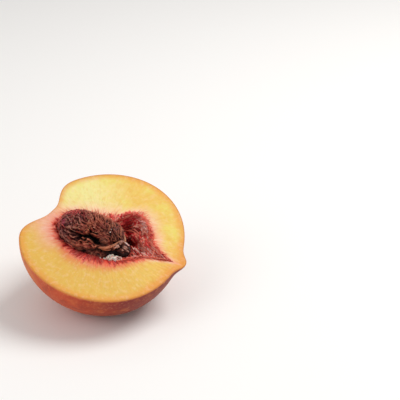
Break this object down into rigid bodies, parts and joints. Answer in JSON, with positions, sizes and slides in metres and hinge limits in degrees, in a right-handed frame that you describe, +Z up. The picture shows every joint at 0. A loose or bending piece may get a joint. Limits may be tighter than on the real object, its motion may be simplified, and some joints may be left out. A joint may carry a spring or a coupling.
{
  "type": "peach half",
  "caption": "Half of a ripe peach with its furrowed stone still in the hollow, cut face up, lying on its rounded skin.",
  "frame": {"origin": "centre of the bounding box's bottom, on the surface that the half lies on", "axes": "+Z up; the cut face leans down towards -Y; the stem's end is towards -X and +Y, and the tip's end towards +X and -Y"},
  "size_m": [0.0749, 0.0756, 0.0457],
  "materials": {
    "flesh": "moist pale yellow flesh, finely streaked, with a soft sheen",
    "skin": "thin red-brown skin with a short velvety down",
    "strings": "torn crimson strings of flesh, wet",
    "stone": "deeply furrowed dark brown wood, damp"
  },
  "bodies": {
    "root": {"flesh": "flesh", "stone": "stone"}
  },
  "joints": []
}
